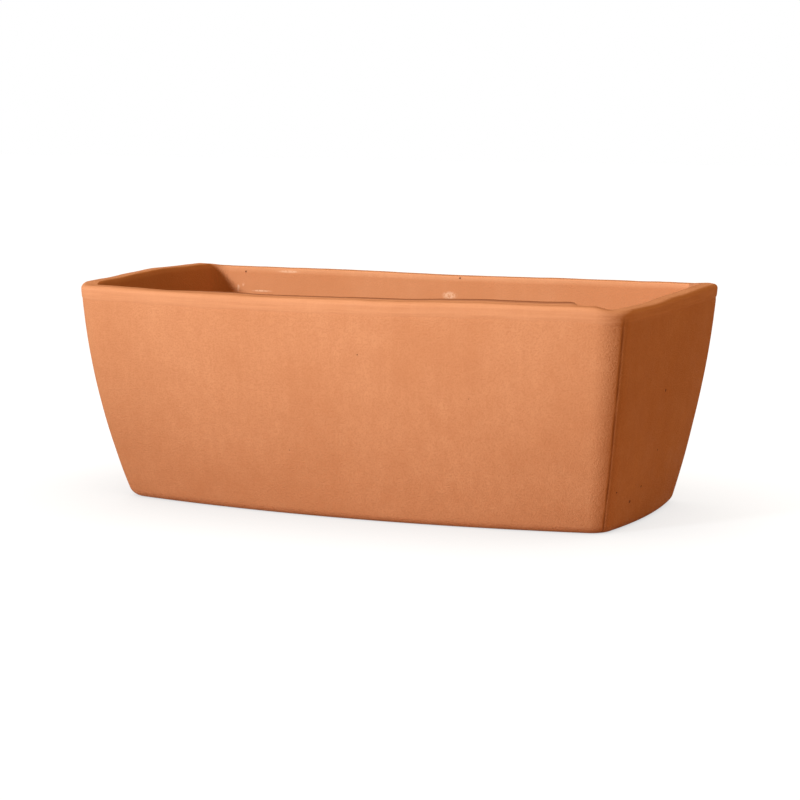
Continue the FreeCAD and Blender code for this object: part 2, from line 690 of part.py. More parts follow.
def make_fill_cap():
    body = new_body("fill_cap", f"-{tube_x}", tube_y)
    flap = circles(body, "FlapPlan", "XY_Plane", [("0", "0", half("Sizes.flap"))], mouth_top)
    pad(body, "Flap", flap, "Sizes.flap_plate")
    tab_half = half("Sizes.flap_tab_width")
    tab = rectangle(body, "TabPlan", "XY_Plane", f"-{tab_half}", tab_half,
                    "-(Sizes.flap/2 + Sizes.flap_tab)", "-(Sizes.flap/2 - Sizes.flap_tab)", mouth_top)
    pad(body, "Tab", tab, "Sizes.flap_plate")
    arm = rectangle(body, "ArmPlan", "XY_Plane", "-Sizes.knuckle/2", "Sizes.knuckle/2",
                    "Sizes.flap/2 - Sizes.flap_tab", "Sizes.hinge_place", mouth_top)
    pad(body, "Arm", arm, "Sizes.flap_plate")
    eye = circles(body, "KnucklePlan", "YZ_Plane",
                  [("Sizes.hinge_place", hinge_height, "Sizes.hinge_round")])
    pad(body, "Knuckle", eye, "Sizes.knuckle", both_ways=True)
    plug_outer = "Sizes.mouth/2 - Sizes.funnel_wall - Sizes.plug_gap"
    ring = circles(body, "RingPlan", "XY_Plane",
                   [("0", "0", plug_outer), ("0", "0", f"{plug_outer} - Sizes.funnel_wall")],
                   f"{mouth_top} - Sizes.plug_depth")
    pad(body, "Ring", ring, "Sizes.plug_depth")
    bore = circles(body, "PinPlan", "YZ_Plane", [("Sizes.hinge_place", hinge_height, pin_bore)])
    cut(body, "PinBore", bore, both_ways=True)


def make_fill_cap_pin():
    body = new_body("fill_cap_pin", f"-{tube_x}", tube_y)
    section = circles(body, "PinPlan", "YZ_Plane", [("Sizes.hinge_place", hinge_height, half("Sizes.pin"))])
    length = "Sizes.knuckle + 2*(Sizes.lug_gap + Sizes.lug + Sizes.pin_end)"
    pad(body, "Pin", section, length, both_ways=True)


# ---------------------------------------------------------------- water level gauge

def make_gauge_tube():
    body = new_body("gauge_tube", tube_x, tube_y)
    outer = half("Sizes.gauge_tube")
    points = tube_points(outer, "Sizes.gauge_wall", gauge_bottom, window_bottom)
    points[0] = ("Sizes.ledge_bore/2", gauge_bottom)
    points.append((f"{outer} - Sizes.gauge_wall", float_bottom))
    points.append(("Sizes.ledge_bore/2", float_bottom))
    turn(body, "Tube", points)
    slot_length = f"({skirt_bottom} - {float_bottom} - 2*Sizes.slot_margin)"
    slot_middle = f"({skirt_bottom} + {float_bottom})/2"
    slot = slots(body, "SlotPlan", "XZ_Plane", [("0", slot_middle)], "Sizes.water_slot", slot_length)
    around(body, "WaterSlots", [cut(body, "WaterSlot", slot)], 4)


def make_gauge_float():
    body = new_body("gauge_float", tube_x, tube_y)
    outer = half("Sizes.float_size")
    turn(body, "Float", [
        ("0", float_bottom),
        (f"{outer} - Sizes.float_edge", float_bottom),
        (outer, f"{float_bottom} + Sizes.float_edge"),
        (outer, f"{float_top} - Sizes.float_edge"),
        (f"{outer} - Sizes.float_edge", float_top),
        (rod_socket, float_top),
        (rod_socket, f"{float_top} - Sizes.float_socket"),
        ("0", f"{float_top} - Sizes.float_socket"),
    ])


def make_gauge_rod():
    body = new_body("gauge_rod", tube_x, tube_y)
    bottom = f"({float_top} - Sizes.float_socket)"
    section = circles(body, "RodPlan", "XY_Plane", [("0", "0", half("Sizes.rod"))], bottom)
    pad(body, "Rod", section, f"{disc_bottom} + Sizes.disc_height/2 - {bottom}")


def make_gauge_disc():
    body = new_body("gauge_disc", tube_x, tube_y)
    turn(body, "Disc", [
        (rod_socket, disc_bottom),
        (half("Sizes.disc"), disc_bottom),
        (half("Sizes.disc"), f"{disc_bottom} + Sizes.disc_height"),
        ("0", f"{disc_bottom} + Sizes.disc_height"),
        ("0", f"{disc_bottom} + Sizes.disc_height/2"),
        (rod_socket, f"{disc_bottom} + Sizes.disc_height/2"),
    ])


def make_gauge_window():
    body = new_body("gauge_window", tube_x, tube_y)
    spigot = "Sizes.gauge_tube/2 - Sizes.gauge_wall - Sizes.window_gap"
    outer = half("Sizes.gauge_tube")
    inner = f"{outer} - Sizes.window_wall"
    turn(body, "Window", [
        (inner, f"{window_bottom} - Sizes.window_spigot"),
        (spigot, f"{window_bottom} - Sizes.window_spigot"),
        (spigot, window_bottom),
        (outer, window_bottom),
        (outer, window_end),
        ("0", window_end),
        ("0", f"{window_end} - Sizes.window_top"),
        (inner, f"{window_end} - Sizes.window_top"),
    ])
    round_level(body, "TopRound", window_end, "Sizes.window_top")
    for name, height in (("LowMark", f"{window_bottom} + Sizes.mark_edge"),
                         ("HighMark", f"{window_end} - Sizes.mark_edge")):
        ring = rectangle(body, f"{name}Profile", "XZ_Plane", f"{outer} - Sizes.mark_depth",
                         f"{outer} + Sizes.mark_depth", height, f"{height} + 2*Sizes.mark_depth")
        doc.recompute()
        groove = body.newObject("PartDesign::Groove", name)
        groove.Profile = ring
        groove.ReferenceAxis = (ring, ["V_Axis"])
        groove.Angle = 360
        doc.recompute()


# ---------------------------------------------------------------- overflow

def make_overflow_pipe():
    body = new_body("overflow_pipe")
    outer = half("Sizes.pipe")
    flange_bottom = f"{tray_floor} + Sizes.gasket_plate"
    flange_top = f"{flange_bottom} + Sizes.flange_plate"
    turn(body, "Pipe", [
        (f"{outer} - Sizes.pipe_wall", "Sizes.pipe_foot"),
        (outer, "Sizes.pipe_foot"),
        (outer, flange_bottom),
        (half("Sizes.flange"), flange_bottom),
        (half("Sizes.flange"), flange_top),
        (outer, flange_top),
        (outer, pipe_top),
        (f"{outer} - Sizes.pipe_wall", pipe_top),
    ])


def make_overflow_gasket():
    body = new_body("overflow_gasket")
    ring = circles(body, "RingPlan", "XY_Plane",
                   [("0", "0", half("Sizes.gasket")), ("0", "0", pipe_bore)], tray_floor)
    pad(body, "Ring", ring, "Sizes.gasket_plate")


def make_overflow_nut():
    body = new_body("overflow_nut")
    bottom = f"{floor_top} - Sizes.nut_height"
    corners = []
    for i in range(6):
        turned = 60*i + 30
        corners.append((f"Sizes.nut/2/cos(30 deg)*cos({turned} deg)",
                        f"Sizes.nut/2/cos(30 deg)*sin({turned} deg)"))
    pad(body, "Hexagon", outline(body, "HexagonPlan", "XY_Plane", corners, bottom), "Sizes.nut_height")
    bore = circles(body, "BorePlan", "XY_Plane", [("0", "0", pipe_bore)], bottom)
    cut(body, "Bore", bore, "Sizes.nut_height")


def make_overflow_strainer():
    body = new_body("overflow_strainer")
    outer = f"{pipe_bore} + Sizes.strainer_wall"
    head = f"{pipe_top} + Sizes.strainer_head"
    turn(body, "Cap", [
        (pipe_bore, f"{pipe_top} - Sizes.strainer_sleeve"),
        (outer, f"{pipe_top} - Sizes.strainer_sleeve"),
        (outer, f"{head} + Sizes.strainer_wall"),
        ("0", f"{head} + Sizes.strainer_wall"),
        ("0", head),
        (f"{pipe_bore} - Sizes.strainer_wall", head),
        (f"{pipe_bore} - Sizes.strainer_wall", pipe_top),
        (pipe_bore, pipe_top),
    ])
    slot = slots(body, "SlotPlan", "XZ_Plane", [("0", f"{pipe_top} + Sizes.strainer_head/2")],
                 "Sizes.strainer_slot", "Sizes.strainer_head - Sizes.strainer_slot")
    around(body, "Slots", [cut(body, "Slot", slot)], 8)


# ---------------------------------------------------------------- assembly

make_planter_body()
make_reservoir_tray()
make_soil_platform()
make_wick_basket("wick_basket_left", f"-{basket_x}")
make_wick_basket("wick_basket_right", basket_x)
for number, (x, y) in enumerate(leg_places(), start=1):
    make_platform_leg(f"platform_leg_{number}", x, y)
make_fill_tube()
make_fill_funnel()
make_fill_cap()
make_fill_cap_pin()
make_gauge_tube()
make_gauge_float()
make_gauge_rod()
make_gauge_disc()
make_gauge_window()
make_overflow_pipe()
make_overflow_gasket()
make_overflow_nut()
make_overflow_strainer()
doc.recompute()

faults = [thing.Name for thing in doc.Objects if {"Invalid", "Error"} & set(thing.State)]
faults += [body.Label for body in bodies if body.Shape.isNull() or not body.Shape.isValid()]
if faults:
    sys.exit("Failed: " + ", ".join(faults))

os.makedirs("parts", exist_ok=True)
for body in bodies:
    body.Shape.exportStep(f"parts/{body.Label}.step")
    box = body.Shape.BoundBox
    print(f"{body.Label:20s} {len(body.Shape.Solids)} solid(s) "
          f"{box.XLength:7.1f} {box.YLength:7.1f} {box.ZLength:7.1f}  z {box.ZMin:6.1f} to {box.ZMax:6.1f}")
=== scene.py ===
import bmesh
import bpy
import math
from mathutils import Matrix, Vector, noise


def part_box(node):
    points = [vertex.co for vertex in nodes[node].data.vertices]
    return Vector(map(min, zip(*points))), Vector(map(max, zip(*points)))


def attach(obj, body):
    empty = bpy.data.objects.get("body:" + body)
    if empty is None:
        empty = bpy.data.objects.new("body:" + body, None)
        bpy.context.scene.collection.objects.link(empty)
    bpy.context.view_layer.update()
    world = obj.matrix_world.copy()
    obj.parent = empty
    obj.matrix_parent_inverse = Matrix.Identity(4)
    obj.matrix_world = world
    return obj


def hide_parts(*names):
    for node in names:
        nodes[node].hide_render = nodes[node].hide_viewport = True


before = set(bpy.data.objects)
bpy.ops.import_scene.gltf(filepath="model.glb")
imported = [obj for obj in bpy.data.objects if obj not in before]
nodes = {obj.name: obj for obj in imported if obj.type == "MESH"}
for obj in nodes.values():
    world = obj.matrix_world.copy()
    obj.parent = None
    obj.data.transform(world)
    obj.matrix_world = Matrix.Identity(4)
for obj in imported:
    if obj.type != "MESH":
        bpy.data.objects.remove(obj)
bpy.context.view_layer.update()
print("frame loaded:", len(nodes), "nodes")


# small helpers

def smooth(value, low, high):
    share = min(max((value - low) / (high - low), 0.0), 1.0)
    return share * share * (3 - 2 * share)


def ripple(point, size, seed=0.0):
    # soft random number between about -1 and 1 that changes over a length of size
    return noise.noise(point / size + Vector((seed, seed * 1.7, seed * 0.3)))


def linear(red, green, blue):
    # 0 to 255 screen colour to the linear colour that shaders take
    def channel(value):
        value = value / 255
        return value / 12.92 if value <= 0.04045 else ((value + 0.055) / 1.055) ** 2.4
    return (channel(red), channel(green), channel(blue), 1.0)


def between(pair, share):
    return pair[0] + (pair[1] - pair[0]) * share


def levels(low, high, steps):
    return [between((low, high), k / steps) for k in range(1, steps + 1)]


def quarterTurn(steps):
    return [math.pi / 2 * k / steps for k in range(steps + 1)]


def vertsOf(geometry):
    return [part for part in geometry if isinstance(part, bmesh.types.BMVert)]


def edgesOf(geometry):
    return [part for part in geometry if isinstance(part, bmesh.types.BMEdge)]


def addMesh(name, bm):
    mesh = bpy.data.meshes.new(name)
    bm.to_mesh(mesh)
    bm.free()
    piece = bpy.data.objects.new(name, mesh)
    bpy.context.collection.objects.link(piece)
    return piece


# terracotta trough

trough = {
    "height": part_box("planter_body")[1][2],
    "rimLength": 0.512,
    "rimDepth": 0.272,
    "baseLength": 0.456,
    "baseFront": 0.112,
    "baseBack": 0.097,
    "endSwell": 0.004,
    "sideSwell": 0.006,
    "frontRadius": (0.990, 2.600),      # at the ground and at the rim, as in the next three
    "backRadius": (3.200, 4.170),
    "endRadius": (0.465, 1.300),
    "cornerRadius": (0.021, 0.027),
    "innerCorner": 0.016,
    "wall": 0.014,
    "floorTop": 0.017,
    "floorRound": 0.007,
    "footHeight": 0.003,
    "footWidth": 0.024,
    "footCorner": 0.012,
    "footEdge": 0.001,
    "footInsets": (0.020, 0.016, 0.012, 0.0085),
    "baseRound": 0.007,
    "rimOuterRound": 0.0040,
    "rimInnerRound": 0.0015,
    "floorBorder": 0.006,               # plain strip along the floor's edge
    "bores": [(0.0, 0.018), (0.150, 0.010), (-0.150, 0.010)],   # place along X, radius
    "boreSides": 40,
    "boreEdge": 0.001,
    "notch": (0.057, 0.083),            # where the drain notches cross the rear foot
    "notchSlope": 0.001,
    "frontColumns": 156,
    "backColumns": 120,
    "endColumns": 66,
    "cornerColumns": 34,
    "wallRings": 45,
    "bandRings": 11,
    "bandZone": 0.016,                  # closer rings from here up to the rim
    "insideRings": 40,
}

handWork = {
    # how far the rim lies above its nominal height, in millimetres, at places along its eight arcs:
    # 0 front, 1 corner, 2 right end, 3 corner, 4 back, 5 corner, 6 left end, 7 corner
    "rimLevels": [(0.0, -0.4), (0.15, -1.9), (0.35, -2.6), (0.60, -2.1), (0.80, -0.8), (0.92, -1.0),
                  (1.5, -4.0), (2.15, -3.4), (2.5, -0.7), (2.8, 0.6), (3.5, -0.2), (4.2, -1.6), (4.5, -2.5),
                  (4.8, -0.8), (5.2, -0.4), (5.7, 1.4), (6.15, 2.8), (6.4, 3.6), (6.6, 2.7), (6.85, 1.4),
                  (7.5, -0.6), (8.0, -0.4)],
    "rimBendFrom": 0.45,        # share of the height where the bend begins
    "rimLean": 0.006,           # two opposite rim corners lean this far towards -X
    "wallWave": 0.0004,
    "wallWaveSize": 0.085,
    "wallWaveFade": 0.03,       # above the floor, where the wave has grown in
    "rimWave": 0.00030,
    "rimWaveSize": 0.030,
    "rimZone": 0.012,           # how far down the rim's own wave reaches
    "bandHeight": 0.0118,       # wiped band below the rim
    "bandProud": 0.00035,
    "bandSoftness": 0.0012,
    "bandWander": 0.0013,
    "bandWanderSize": 0.045,
    "creaseDepth": 0.00045,
    "creaseWidth": 0.0011,
    "creaseWaveSize": 0.030,
    "wipedInside": (0.004, 0.001),  # below the rim, where wiping fades out on the inside
    "shadeInside": (0.005, 0.001),   # and where the painted shade of the inside begins
    "lipBegin": (-0.165, -0.100),   # the moulding lip on the front rim and its painted shade grow in here
    "lipEnd": 0.2075,               # and stops here
    "lipEndSlope": 0.0015,
    "lipInset": (0.78, 0.86),       # shares of the wall over which it rises
    "lipHeight": 0.0016,
    "lipGrowth": 0.8,
    "edgeZone": 0.004,
    "edgeInset": (0.84, 0.95),      # painted shade along the inner edge of the other rims
    "edgeShade": 0.45,
    "seamShares": (0.53, 0.68),     # place of the mould seam round its corner
    "seamWander": 0.025,
    "seamDepth": 0.0006,
    "seamWidth": 0.0011,
    "seamTop": (0.010, 0.004),      # below the rim, where the seam fades out
    "stripAside": 0.0042,           # shallow strip beside the seam, dented and painted with shade
    "stripWidth": 0.00176,
    "stripDepth": 0.00012,
    "stripShade": 0.18,
}

marksRead = ("wiped", "seamShade", "lip", "inside")


def troughArcs(z, inset, corner):
    # four shallow arcs joined by four round corners: (centre, radius, from angle, to angle)
    share = z / trough["height"]
    belly = 4 * share * (1 - share)
    halfEnd = between((trough["baseLength"], trough["rimLength"]), share) / 2
    halfEnd += trough["endSwell"] * belly - inset
    out = trough["sideSwell"] * belly - inset
    front = between((trough["baseFront"], trough["rimDepth"] / 2), share) + out
    back = between((trough["baseBack"], trough["rimDepth"] / 2), share) + out
    frontRadius = between(trough["frontRadius"], share) - inset
    backRadius = between(trough["backRadius"], share) - inset
    endRadius = between(trough["endRadius"], share) - inset
    sides = [
        (Vector((0, frontRadius - front)), frontRadius),
        (Vector((halfEnd - endRadius, 0)), endRadius),
        (Vector((0, back - backRadius)), backRadius),
        (Vector((endRadius - halfEnd, 0)), endRadius),
    ]
    tips = [(halfEnd, -front), (halfEnd, back), (-halfEnd, back), (-halfEnd, -front)]
    turns = []
    for i in range(4):
        first, firstRadius = sides[i]
        second, secondRadius = sides[(i + 1) % 4]
        gap = (second - first).length
        along = ((firstRadius - corner) ** 2 - (secondRadius - corner) ** 2 + gap ** 2) / (2 * gap)
        aside = math.sqrt((firstRadius - corner) ** 2 - along ** 2)
        ahead = (second - first) / gap
        step = Vector((-ahead.y, ahead.x)) * aside
        foot = first + ahead * along
        turns.append(min((foot + step, foot - step), key=lambda spot: (spot - Vector(tips[i])).length))
    arcs = []
    for i in range(4):
        centre, radius = sides[i]
        nextCentre = sides[(i + 1) % 4][0]
        start = turns[i - 1] - centre
        leave = turns[i] - centre
        arrive = turns[i] - nextCentre
        angles = [math.atan2(way.y, way.x) for way in (start, leave, arrive)]
        for k in (1, 2):
            while angles[k] < angles[k - 1]:
                angles[k] += 2 * math.pi
        arcs.append((centre, radius, angles[0], angles[1]))
        arcs.append((turns[i], corner, angles[1], angles[2]))
    return arcs


def troughColumns():
    # (arc, share along it) for every column of the mesh, anticlockwise from the front's left end
    counts = []
    for side in ("frontColumns", "endColumns", "backColumns", "endColumns"):
        counts += [trough[side], trough["cornerColumns"]]
    return [(arc, k / count) for arc, count in enumerate(counts) for k in range(count)]


def troughRing(z, inset, corner, columns):
    arcs = troughArcs(z, inset, corner)
    points = []
    for arc, share in columns:
        centre, radius, start, stop = arcs[arc]
        angle = start + (stop - start) * share
        way = Vector((math.cos(angle), math.sin(angle)))
        spot = centre + way * radius
        points.append((Vector((spot.x, spot.y, z)), Vector((way.x, way.y, 0))))
    return points


def troughProfile():
    # (height, inset, corner radius): hollow under the floor, up the outside, over the rim, down to the floor
    height = trough["height"]
    wall = trough["wall"]
    inner = trough["innerCorner"]

    def outerCorner(z):
        return between(trough["cornerRadius"], z / height)

    def rimCorner(inset):
        return between((outerCorner(height), inner), inset / wall)

    foot = trough["footHeight"]
    width = trough["footWidth"]
    small = trough["footCorner"]
    edge = trough["footEdge"]
    rings = [(foot, width + trough["floorBorder"], small), (foot, width + edge, small)]
    rings += [(foot - edge, width, small), (0.6 * edge, width, small), (0.0, width - 0.8 * edge, small)]
    base = trough["baseRound"]
    for inset in trough["footInsets"]:
        share = (width - inset) / (width - base)
        rings.append((0.0, inset, between((small, outerCorner(0) - base), share)))
    for angle in quarterTurn(8):
        inset = base * (1 - math.sin(angle))
        z = base * (1 - math.cos(angle))
        rings.append((z, inset, outerCorner(z) - inset))

    outerRound = trough["rimOuterRound"]
    bandLow = height - trough["bandZone"]
    wallLevels = levels(base, bandLow, trough["wallRings"])
    wallLevels += levels(bandLow, height - outerRound, trough["bandRings"])
    rings += [(z, 0, outerCorner(z)) for z in wallLevels]
    for angle in quarterTurn(8)[1:]:
        inset = outerRound * (1 - math.cos(angle))
        rings.append((height - outerRound * (1 - math.sin(angle)), inset, rimCorner(inset)))
    innerRound = trough["rimInnerRound"]
    for inset in levels(outerRound, wall - innerRound, 4)[:3]:
        rings.append((height, inset, rimCorner(inset)))
    for angle in quarterTurn(6):
        inset = wall - innerRound * (1 - math.sin(angle))
        rings.append((height - innerRound * (1 - math.cos(angle)), inset, rimCorner(inset)))

    floorTop = trough["floorTop"]
    floorRound = trough["floorRound"]
    bottom = floorTop + floorRound
    rings += [(z, wall, inner) for z in levels(height - innerRound, bottom, trough["insideRings"])]
    for angle in quarterTurn(6)[1:]:
        step = floorRound * (1 - math.cos(angle))
        rings.append((bottom - floorRound * math.sin(angle), wall + step, inner - step))
    rings.append((floorTop, wall + floorRound + trough["floorBorder"], inner - floorRound))
    return rings


def rimLevel(around):
    # height of the rim against its nominal one, at a place 0 to 8 along the arcs
    known = handWork["rimLevels"]
    for (before, low), (after, high) in zip(known, known[1:]):
        if around <= after:
            return between((low, high), smooth(around, before, after)) / 1000
    return known[-1][1] / 1000


def kilnWarp(point, around):
    # the rim lies uneven, and two of its corners lean
    x, y, z = point
    share = z / trough["height"]
    toEnd = abs(x) / (trough["rimLength"] / 2)
    toBack = y / (trough["rimDepth"] / 2)
    toCorner = (1 - toBack) / 2 if x > 0 else (1 + toBack) / 2
    lean = handWork["rimLean"] * toEnd * toCorner * share
    return Vector((-lean, 0, rimLevel(around) * smooth(share, handWork["rimBendFrom"], 1)))


def wallWave(point, way):
    size = handWork["wallWaveSize"]
    wave = ripple(point, size) + 0.3 * ripple(point, size / 3, 4.0)
    aboveFloor = smooth(point.z, trough["floorTop"], trough["floorTop"] + handWork["wallWaveFade"])
    return way * handWork["wallWave"] * wave * aboveFloor


def rimWave(point, way):
    flat = Vector((point.x, point.y, 0))
    size = handWork["rimWaveSize"]
    swell = ripple(flat, size, 2.0) + 0.4 * ripple(flat, size / 3, 5.0)
    nearRim = smooth(point.z, trough["height"] - handWork["rimZone"], trough["height"])
    return handWork["rimWave"] * nearRim * (Vector((0, 0, swell)) + way * ripple(flat, size, 9.0))


def wipedBand(point, way, outside):
    # band that was wiped smooth, with a soft crease under it on the outside
    height = trough["height"]
    if not outside:
        low, high = handWork["wipedInside"]
        return Vector(), smooth(point.z, height - low, height - high)
    flat = Vector((point.x, point.y, 0))
    edge = height - handWork["bandHeight"]
    edge += handWork["bandWander"] * ripple(flat, handWork["bandWanderSize"], 7.0)
    soft = handWork["bandSoftness"]
    amount = smooth(point.z, edge - soft, edge + soft)
    crease = math.exp(-((point.z - edge) / handWork["creaseWidth"]) ** 2)
    crease *= 0.7 + 0.6 * ripple(flat, handWork["creaseWaveSize"], 11.0)
    return way * (handWork["bandProud"] * amount - handWork["creaseDepth"] * crease), amount


def mouldLip(point, inset, arc):
    # lip along the inner edge of the front rim, with painted shade on it, and painted shade along the inner
    # edge of the other rims
    if arc not in (0, 1, 2, 3) or point.z <= trough["height"] - handWork["edgeZone"]:
        return 0.0, 0.0
    across = inset / trough["wall"]
    if arc:
        return 0.0, handWork["edgeShade"] * smooth(across, *handWork["edgeInset"])
    end = handWork["lipEnd"]
    slope = handWork["lipEndSlope"]
    lip = smooth(across, *handWork["lipInset"])
    lip *= smooth(point.x, *handWork["lipBegin"]) * (1 - smooth(point.x, end - slope, end + slope))
    taller = 0.85 + handWork["lipGrowth"] * smooth(point.x, 0, end)
    taller += 0.3 * ripple(Vector((point.x, point.y, 0)), 0.05, 3.0)
    return handWork["lipHeight"] * lip * taller, lip


def mouldSeam(point, way, share):
    # broken groove down a corner where the mould parted, with a shallow strip beside it; both dent the wall,
    # and the mark paints shade into them
    height = trough["height"]
    upright = Vector((0, 0, point.z))
    centre = between(handWork["seamShares"], point.z / height)
    centre += handWork["seamWander"] * ripple(upright, 0.06, 1.0)
    aside = (share - centre) * trough["cornerRadius"][1] * math.pi / 2
    broken = 0.60 + 0.55 * ripple(upright, 0.014, 6.0)
    groove = broken * math.exp(-(aside / handWork["seamWidth"]) ** 2)
    strip = math.exp(-((aside - handWork["stripAside"]) / handWork["stripWidth"]) ** 2)
    low, high = handWork["seamTop"]
    reach = 1 - smooth(point.z, height - low, height - high)
    depth = handWork["seamDepth"] * groove + handWork["stripDepth"] * strip
    return way * -depth * reach, min(1.0, (groove + handWork["stripShade"] * strip) * reach)


def drainNotch(point, inset):
    # how far the rear foot is raised where the notches cross it
    foot = trough["footHeight"]
    if point.z >= foot or inset >= trough["footWidth"] + trough["footEdge"]:
        return 0.0
    low, high = trough["notch"]
    slope = trough["notchSlope"]
    along = abs(point.x)
    inNotch = smooth(along, low - slope, low + slope) * (1 - smooth(along, high - slope, high + slope))
    return (foot - point.z) * inNotch


def shapeByHand(point, way, inset, column):
    # what hands, mould and kiln leave on the plain form: the place, and the marks that the finish reads
    height = trough["height"]
    arc, share = column
    outside = inset < trough["wall"] / 2
    marks = dict.fromkeys(marksRead, 0.0)
    place = point + kilnWarp(point, arc + share) + wallWave(point, way) + rimWave(point, way)
    shift, marks["wiped"] = wipedBand(point, way, outside)
    place += shift
    # the lip rises, and its mark paints shade along the inner rim edges
    rise, marks["lip"] = mouldLip(point, inset, arc)
    place.z += rise
    # the seam's dent, and its mark for painted shade
    if arc in (1, 5) and outside:
        shift, marks["seamShade"] = mouldSeam(point, way, share)
        place += shift
    if arc == 4:
        place.z += drainNotch(point, inset)
    if not outside:
        # painted shade: the inside is marked from a little below the rim down, to be darkened
        low, high = handWork["shadeInside"]
        marks["inside"] = 1 - smooth(point.z, height - low, height - high)
    return place, marks


def troughPlace(arc, share, z, inside):
    # a spot on the finished surface, from its share along an arc and its height on the plain form
    inset = trough["wall"] if inside else 0.0
    corner = trough["innerCorner"] if inside else between(trough["cornerRadius"], z / trough["height"])
    point, way = troughRing(z, inset, corner, [(arc, share)])[0]
    return shapeByHand(point, way, inset, (arc, share))[0]


def growShell(bm):
    # ring after ring along the profile; returns the edges of the first and the last
    columns = troughColumns()
    columnOf = bm.verts.layers.int.new("column")
    layers = {name: bm.verts.layers.float.new(name) for name in marksRead}
    bmesh.ops.create_circle(bm, cap_ends=False, segments=len(columns), radius=1)
    bm.verts.ensure_lookup_table()
    for i, vert in enumerate(bm.verts):
        vert[columnOf] = i
    ringVerts = list(bm.verts)
    ringEdges = firstEdges = list(bm.edges)
    for number, (z, inset, corner) in enumerate(troughProfile()):
        if number:
            grown = bmesh.ops.extrude_edge_only(bm, edges=ringEdges)["geom"]
            ringVerts, ringEdges = vertsOf(grown), edgesOf(grown)
        points = troughRing(z, inset, corner, columns)
        for vert in ringVerts:
            point, way = points[vert[columnOf]]
            vert.co, marks = shapeByHand(point, way, inset, columns[vert[columnOf]])
            for name, amount in marks.items():
                vert[layers[name]] = amount
    bm.verts.layers.int.remove(columnOf)
    return firstEdges, ringEdges


def drillFloor(bm):
    # walls of the bores; returns their rims in the two flat faces of the floor
    under, over = trough["footHeight"], trough["floorTop"]
    bevel = trough["boreEdge"]
    lowRims, highRims = [], []
    for along, radius in trough["bores"]:
        wide = radius + bevel
        made = bmesh.ops.create_circle(bm, cap_ends=False, segments=trough["boreSides"], radius=wide)
        bmesh.ops.translate(bm, verts=made["verts"], vec=(along, 0, under))
        edges = list(dict.fromkeys(edge for vert in made["verts"] for edge in vert.link_edges))
        lowRims += edges
        for z, size in ((under + bevel, radius), (over - bevel, radius), (over, wide)):
            grown = bmesh.ops.extrude_edge_only(bm, edges=edges)["geom"]
            edges = edgesOf(grown)
            for vert in vertsOf(grown):
                way = Vector((vert.co.x - along, vert.co.y, 0)).normalized()
                vert.co = Vector((along, 0, z)) + way * size
        highRims += edges
    return lowRims, highRims


def makeTrough():
    bm = bmesh.new()
    firstEdges, lastEdges = growShell(bm)
    lowRims, highRims = drillFloor(bm)
    bmesh.ops.triangle_fill(bm, use_beauty=True, use_dissolve=False, edges=firstEdges + lowRims)
    bmesh.ops.triangle_fill(bm, use_beauty=True, use_dissolve=False, edges=lastEdges + highRims)
    bmesh.ops.recalc_face_normals(bm, faces=bm.faces)
    for face in bm.faces:
        face.smooth = True
    piece = addMesh("clayTrough", bm)
    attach(piece, "planter")
    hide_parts("planter_body")
    return piece


clayTrough = makeTrough()
print("trough made:", len(clayTrough.data.polygons), "faces")


# materials

class Finish:
    # a material with its nodes added one after another
    def __init__(self, name):
        self.material = bpy.data.materials.new(name)
        self.material.use_nodes = True
        self.tree = self.material.node_tree
        self.shader = self.tree.nodes["Principled BSDF"]
        self.place = self.add("ShaderNodeTexCoord").outputs["Object"]

    def link(self, node, socket, source):
        if isinstance(source, bpy.types.NodeSocket):
            self.tree.links.new(source, node.inputs[socket])
        else:
            node.inputs[socket].default_value = source

    def add(self, kind, links=(), **settings):
        node = self.tree.nodes.new(kind)
        for name, value in settings.items():
            setattr(node, name, value)
        for socket, source in dict(links).items():
            self.link(node, socket, source)
        return node

    def noise(self, scale, detail=2.0, rough=0.5, stretch=None):
        place = self.place
        if stretch:
            place = self.add("ShaderNodeMapping", {"Vector": place, "Scale": stretch}).outputs["Vector"]
        links = {"Vector": place, "Scale": scale, "Detail": detail, "Roughness": rough}
        return self.add("ShaderNodeTexNoise", links).outputs["Fac"]

    def math(self, operation, first, second=0.0, third=None):
        links = {0: first, 1: second}
        if third is not None:
            links[2] = third
        return self.add("ShaderNodeMath", links, operation=operation).outputs[0]

    def span(self, value, low, high, newLow=0.0, newHigh=1.0):
        links = {"Value": value, "From Min": low, "From Max": high, "To Min": newLow, "To Max": newHigh}
        return self.add("ShaderNodeMapRange", links, interpolation_type="SMOOTHSTEP").outputs["Result"]

    def mix(self, share, first, second):
        return self.add("ShaderNodeMix", {0: share, 6: first, 7: second}, data_type="RGBA").outputs[2]

    def times(self, first, second):
        return self.math("MULTIPLY", first, second)

    def attribute(self, name):
        return self.add("ShaderNodeAttribute", attribute_name=name).outputs["Fac"]

    def near(self, centre, reach, core):
        # 1 inside an ellipsoid round a place on the piece, fading out from its core
        vector = "ShaderNodeVectorMath"
        apart = self.add(vector, {0: self.place, 1: centre}, operation="SUBTRACT").outputs[0]
        scaled = self.add(vector, {0: apart, 1: reach}, operation="DIVIDE").outputs[0]
        far = self.add(vector, {0: scaled}, operation="LENGTH").outputs["Value"]
        return self.span(far, 1.0, core)

    def bump(self, height, distance, strength=1.0, normal=None):
        links = {"Height": height, "Distance": distance, "Strength": strength}
        if normal is not None:
            links["Normal"] = normal
        return self.add("ShaderNodeBump", links).outputs["Normal"]

    def set(self, **values):
        for name, value in values.items():
            self.link(self.shader, name.replace("_", " "), value)


